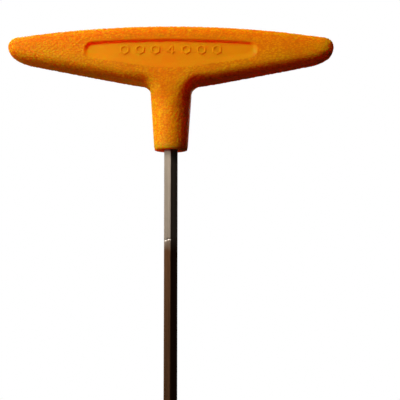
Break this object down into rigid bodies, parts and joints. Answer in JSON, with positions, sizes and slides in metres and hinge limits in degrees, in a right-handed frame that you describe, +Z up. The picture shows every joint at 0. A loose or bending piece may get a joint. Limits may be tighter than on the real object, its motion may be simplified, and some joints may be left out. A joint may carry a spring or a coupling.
{
  "type": "t-handle hex key",
  "caption": "T-handle hex key: a long hexagonal steel blade moulded into a tapered plastic cross handle.",
  "frame": {"origin": "centre of the blade's tip face", "axes": "+Z up the blade to the handle, +X along the handle's arms, -Y the front face"},
  "size_m": [0.0984, 0.0134, 0.1869],
  "materials": {
    "handle_plastic": "orange, fine pebble grain with smooth recesses",
    "blade_steel": "brown-black oxide with a thin oil film"
  },
  "bodies": {
    "root": {"handle": "handle_plastic", "hex_blade": "blade_steel"}
  },
  "joints": []
}
